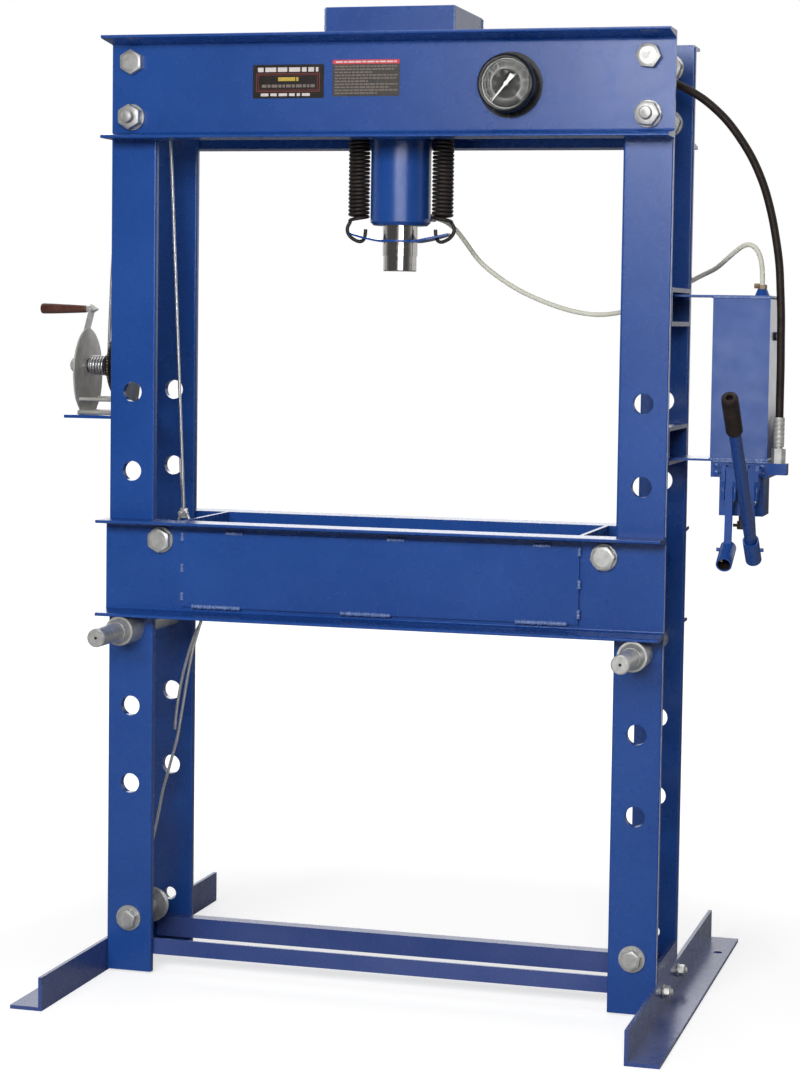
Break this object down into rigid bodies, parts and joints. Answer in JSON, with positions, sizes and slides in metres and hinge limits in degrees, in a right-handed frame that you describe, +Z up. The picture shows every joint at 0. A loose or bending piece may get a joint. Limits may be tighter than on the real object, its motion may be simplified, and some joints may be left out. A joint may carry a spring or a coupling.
{
  "type": "hydraulic frame press",
  "caption": "Floor-standing hydraulic frame press: steel uprights with pin holes, spring-return ram in the head, bed raised by a hand winch, side-mounted hand pump and gauge.",
  "frame": {"origin": "on the floor, midway between the ends of the feet and midway between the outermost points of the winch side and the pump side", "axes": "+Z up, +X along the bed towards the pump, +Y to the back"},
  "size_m": [1.525, 0.92, 1.861],
  "materials": {
    "blue_paint": "glossy blue enamel",
    "zinc": "bright zinc plate",
    "ground_steel": "ground and polished",
    "wire_rope": "galvanised wire rope",
    "black_steel": "satin black",
    "black_plastic": "gloss black",
    "dial_face": "matt black dial",
    "white_paint": "matt white",
    "gauge_glass": "clear",
    "black_rubber": "matt black rubber",
    "clear_hose": "milky hose",
    "brown_plastic": "brown moulded grip"
  },
  "bodies": {
    "frame": {"column_front_left": "blue_paint", "column_front_right": "blue_paint", "column_rear_left": "blue_paint", "column_rear_right": "blue_paint", "head_channel_front": "blue_paint", "head_channel_rear": "blue_paint", "head_box": "blue_paint", "frame_bolts": "zinc", "cross_bars": "blue_paint", "foot_left": "blue_paint", "foot_right": "blue_paint", "small_bolts": "zinc", "rear_collars": "zinc", "cylinder_barrel": "blue_paint", "cylinder_nut": "zinc", "spring_left": "black_steel", "spring_right": "black_steel", "gauge_case": "black_plastic", "gauge_dial": "dial_face", "gauge_glass": "gauge_glass", "pump_brackets": "blue_paint", "pump_holder_plates": "blue_paint", "pump_tank": "blue_paint", "tank_plug": "black_steel", "pump_base": "blue_paint", "hose_fittings": "zinc", "pressure_hose": "black_rubber", "return_hose": "clear_hose", "winch_platform": "blue_paint", "winch_frame": "zinc", "sheave_axle": "zinc", "lift_cable": "wire_rope", "winch_cable": "wire_rope", "lower_cable": "wire_rope"},
    "bed": {"bed_channel_front": "blue_paint", "bed_channel_rear": "blue_paint", "bed_plates": "blue_paint", "bed_bolts": "zinc", "bed_sleeves": "zinc", "cable_clamps": "zinc"},
    "pin_left": {"support_pin_left": "zinc"},
    "pin_right": {"support_pin_right": "zinc"},
    "ram": {"ram": "ground_steel", "ram_nose": "ground_steel", "spring_strap": "blue_paint"},
    "needle": {"gauge_needle": "white_paint"},
    "lever_left": {"pump_lever_left": "blue_paint"},
    "lever_right": {"pump_lever_right": "blue_paint", "pump_handle": "blue_paint", "handle_grip": "black_rubber"},
    "plunger_left": {"plunger_left": "ground_steel"},
    "plunger_right": {"plunger_right": "ground_steel"},
    "release_valve": {"release_valve": "black_steel"},
    "winch_drum": {"winch_drum": "black_steel", "cable_coil": "wire_rope", "winch_crank": "zinc"},
    "winch_grip": {"winch_grip": "brown_plastic"},
    "top_sheave": {"top_sheave": "zinc"},
    "bottom_sheave": {"bottom_sheave": "zinc"}
  },
  "joints": [
    {"name": "bed_slide", "type": "slide", "parent": "frame", "child": "bed", "axis": [0, 0, 1], "range_m": [0, 0.304], "deforming": ["lift_cable", "lower_cable"]},
    {"name": "pin_left_slide", "type": "slide", "parent": "frame", "child": "pin_left", "axis": [0, -1, 0], "range_m": [0, 0.28]},
    {"name": "pin_right_slide", "type": "slide", "parent": "frame", "child": "pin_right", "axis": [0, -1, 0], "range_m": [0, 0.28]},
    {"name": "ram_slide", "type": "slide", "parent": "frame", "child": "ram", "axis": [0, 0, -1], "range_m": [0, 0.15], "stiffness_N_per_m": 4000, "springref_m": -0.05, "deforming": ["spring_left", "spring_right"]},
    {"name": "needle_turn", "type": "hinge", "parent": "frame", "child": "needle", "pos_m": [0.2505, -0.199, 1.71], "axis": [0, 1, 0], "range_deg": [0, 270], "stiffness_Nm_per_rad": 0.002},
    {"name": "lever_left_swing", "type": "hinge", "parent": "frame", "child": "lever_left", "pos_m": [0.6605, -0.108, 1.012], "axis": [1, 0, 0], "range_deg": [-10, 10]},
    {"name": "lever_right_swing", "type": "hinge", "parent": "frame", "child": "lever_right", "pos_m": [0.7005, -0.108, 1.012], "axis": [1, 0, 0], "range_deg": [-10, 10]},
    {"name": "plunger_left_slide", "type": "slide", "parent": "frame", "child": "plunger_left", "axis": [0, 1, 0], "range_m": [-0.011, 0.011]},
    {"name": "plunger_right_slide", "type": "slide", "parent": "frame", "child": "plunger_right", "axis": [0, 1, 0], "range_m": [-0.011, 0.011]},
    {"name": "release_turn", "type": "hinge", "parent": "frame", "child": "release_valve", "pos_m": [0.6765, -0.058, 0.91], "axis": [0, 0, 1], "range_deg": [0, 360]},
    {"name": "crank_turn", "type": "hinge", "parent": "frame", "child": "winch_drum", "pos_m": [-0.5915, -0.038, 1.18], "axis": [1, 0, 0], "continuous": true},
    {"name": "grip_spin", "type": "hinge", "parent": "winch_drum", "child": "winch_grip", "pos_m": [-0.6915, 0.03142, 1.29109], "axis": [1, 0, 0], "continuous": true},
    {"name": "top_sheave_spin", "type": "hinge", "parent": "frame", "child": "top_sheave", "pos_m": [-0.5165, -0.038, 1.69], "axis": [0, 1, 0], "continuous": true},
    {"name": "bottom_sheave_spin", "type": "hinge", "parent": "frame", "child": "bottom_sheave", "pos_m": [-0.4895, -0.038, 0.108], "axis": [0, 1, 0], "continuous": true}
  ],
  "couplings": [
    {"joint": "plunger_left_slide", "follows": "lever_left_swing", "m_per_rad": 0.057},
    {"joint": "plunger_right_slide", "follows": "lever_right_swing", "m_per_rad": 0.057}
  ]
}
